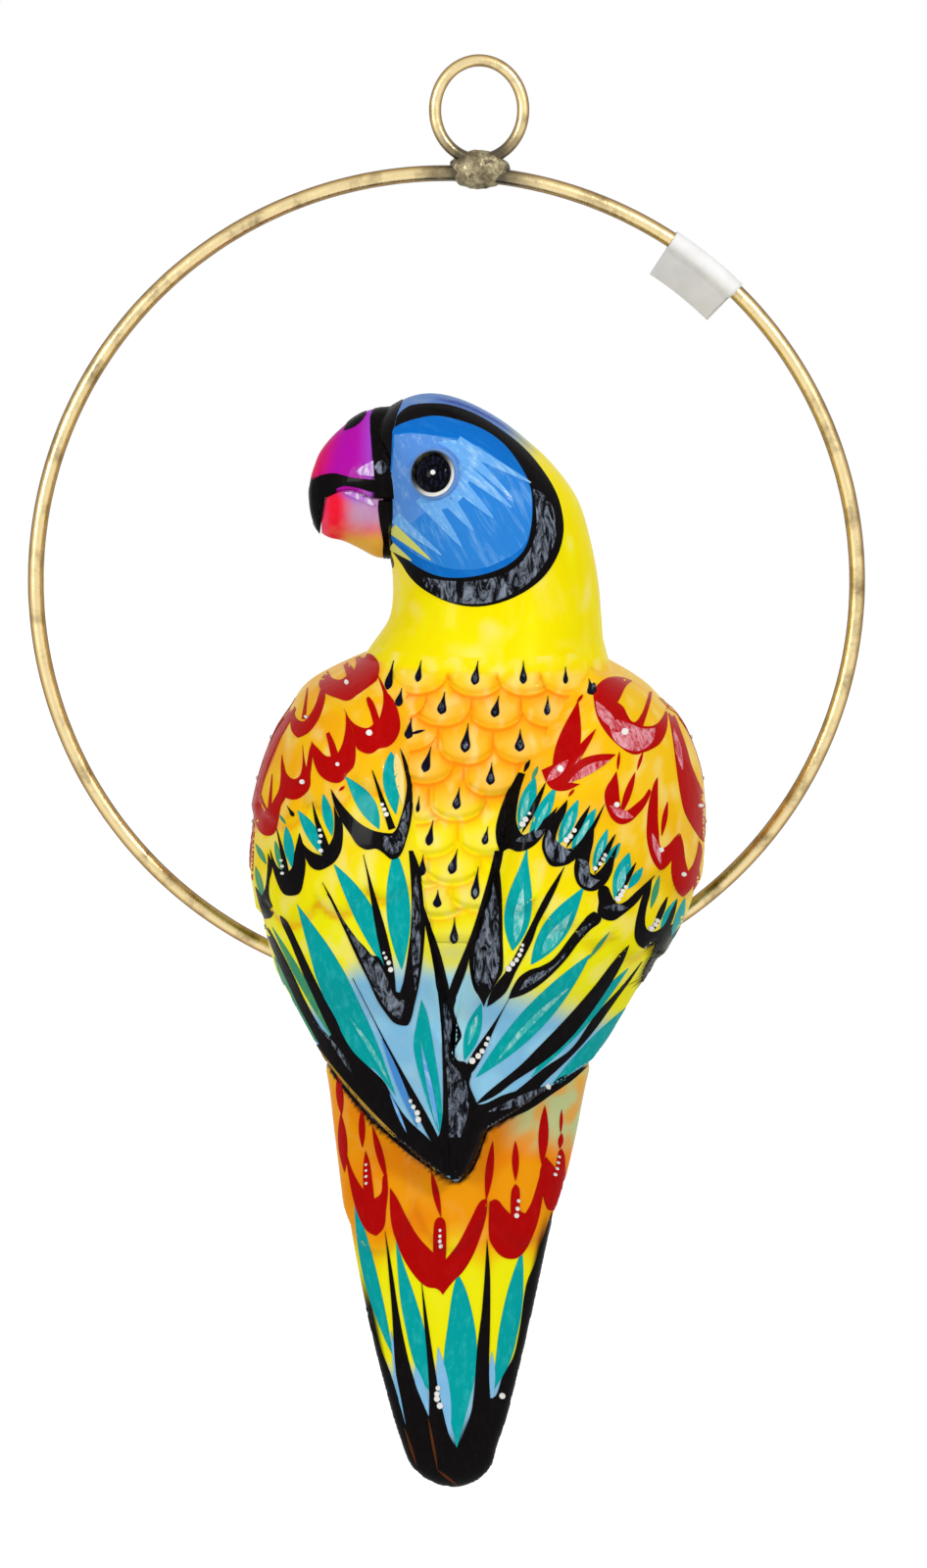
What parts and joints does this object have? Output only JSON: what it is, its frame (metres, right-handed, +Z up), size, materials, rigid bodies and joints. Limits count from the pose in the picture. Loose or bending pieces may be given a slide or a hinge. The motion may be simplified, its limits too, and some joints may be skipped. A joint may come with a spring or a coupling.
{
  "type": "hanging parrot ornament",
  "caption": "Painted hollow clay parrot perched in a brass hoop that runs through its feet and hangs from a small eye.",
  "frame": {"origin": "highest point inside the hanging eye, where a hook bears", "axes": "+Z up; +X to the right when facing the bird's back; +Y from the bird's back to its breast"},
  "size_m": [0.2374, 0.0979, 0.4055],
  "materials": {
    "brass_rod": "satin, a little tarnished",
    "braze": "rough, darkened by heat",
    "paper": "plain white label stock",
    "yellow_paint": "painted and gloss varnished",
    "orange_paint": "painted and gloss varnished",
    "purple_paint": "painted and gloss varnished",
    "coral_paint": "painted and gloss varnished",
    "black_paint": "painted and gloss varnished",
    "white_paint": "painted and gloss varnished",
    "grey_paint": "painted and gloss varnished"
  },
  "bodies": {
    "hanger": {"hoop": "brass_rod", "hanging_eye": "brass_rod", "braze_bead": "braze", "paper_tag": "paper"},
    "bird": {"body_back_shell": "yellow_paint", "body_front_shell": "yellow_paint", "tail": "orange_paint", "head_shell": "yellow_paint", "upper_beak": "purple_paint", "lower_beak": "coral_paint", "left_wing": "orange_paint", "right_wing": "orange_paint", "left_thigh": "yellow_paint", "right_thigh": "yellow_paint", "left_foot": "grey_paint", "right_foot": "grey_paint", "left_eye": "black_paint", "right_eye": "black_paint", "left_eye_ring": "white_paint", "right_eye_ring": "white_paint"}
  },
  "joints": [
    {"name": "bird_slides_on_hoop", "type": "hinge", "parent": "hanger", "child": "bird", "pos_m": [-0.0092, 0, -0.146], "axis": [0, 1, 0], "range_deg": [-35, 35]}
  ]
}
